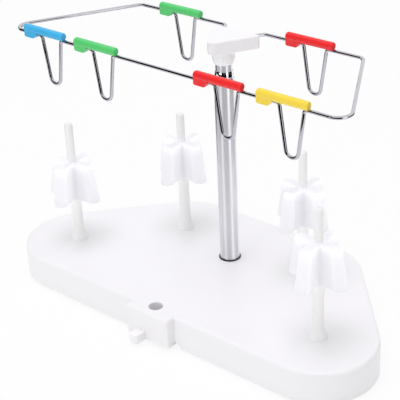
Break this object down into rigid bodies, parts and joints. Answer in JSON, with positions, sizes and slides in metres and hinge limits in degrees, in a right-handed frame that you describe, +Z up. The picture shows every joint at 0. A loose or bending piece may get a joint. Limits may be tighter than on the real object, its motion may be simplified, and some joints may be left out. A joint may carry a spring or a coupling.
{
  "type": "serger thread stand",
  "caption": "Thread stand for an overlock machine: a low moulded base with spool pins and cone holders, and a telescopic mast with a wire loop of thread eyelets.",
  "frame": {"origin": "on the table, in the middle of the stand's outline in plan", "axes": "+Z up along the mast, +X to the right, the boss and tongue at the front face -Y"},
  "size_m": [0.316, 0.1662, 0.2076],
  "materials": {
    "white_abs": "satin moulded",
    "pin_plastic": "satin moulded",
    "frosted_plastic": "frosted, translucent",
    "chromed_tube": "polished",
    "chromed_wire": "polished",
    "zinc_steel": "zinc plated",
    "dark_nylon": "moulded",
    "black_rubber": "matt",
    "blue_plastic": "moulded",
    "green_plastic": "moulded",
    "red_plastic": "moulded",
    "yellow_plastic": "moulded"
  },
  "bodies": {
    "stand": {"base_shell": "white_abs", "rubber_feet": "black_rubber", "lower_tube": "chromed_tube", "mast_ring": "black_rubber", "mast_plug": "zinc_steel", "mast_screw": "zinc_steel", "mast_washer": "zinc_steel", "pin_screws": "zinc_steel", "front_left_spool_pin": "pin_plastic", "front_right_spool_pin": "pin_plastic", "back_left_spool_pin": "pin_plastic", "back_right_spool_pin": "pin_plastic"},
    "mast_middle": {"middle_tube": "chromed_tube", "middle_guide_plug": "dark_nylon"},
    "mast_upper": {"upper_tube": "chromed_tube", "upper_guide_plug": "dark_nylon"},
    "thread_guide": {"guide_head": "white_abs", "guide_wire": "chromed_wire", "front_outer_left_clip": "blue_plastic", "front_inner_left_clip": "green_plastic", "front_inner_right_clip": "red_plastic", "front_outer_right_clip": "yellow_plastic", "back_left_clip": "green_plastic", "back_right_clip": "red_plastic"},
    "front_left_holder": {"front_left_cone_holder": "frosted_plastic"},
    "front_right_holder": {"front_right_cone_holder": "frosted_plastic"},
    "back_left_holder": {"back_left_cone_holder": "frosted_plastic"},
    "back_right_holder": {"back_right_cone_holder": "frosted_plastic"}
  },
  "joints": [
    {"name": "middle_tube_slide", "type": "slide", "parent": "stand", "child": "mast_middle", "axis": [0, 0, 1], "range_m": [0, 0.135]},
    {"name": "upper_tube_slide", "type": "slide", "parent": "mast_middle", "child": "mast_upper", "axis": [0, 0, 1], "range_m": [0, 0.1215]},
    {"name": "head_turn", "type": "hinge", "parent": "mast_upper", "child": "thread_guide", "pos_m": [0, 0.02365, 0.191], "axis": [0, 0, 1], "continuous": true},
    {"name": "front_left_holder_lift", "type": "slide", "parent": "stand", "child": "front_left_holder", "axis": [0, 0, 1], "range_m": [0, 0.064]},
    {"name": "front_right_holder_lift", "type": "slide", "parent": "stand", "child": "front_right_holder", "axis": [0, 0, 1], "range_m": [0, 0.056]},
    {"name": "back_left_holder_lift", "type": "slide", "parent": "stand", "child": "back_left_holder", "axis": [0, 0, 1], "range_m": [0, 0.055]},
    {"name": "back_right_holder_lift", "type": "slide", "parent": "stand", "child": "back_right_holder", "axis": [0, 0, 1], "range_m": [0, 0.0595]}
  ]
}
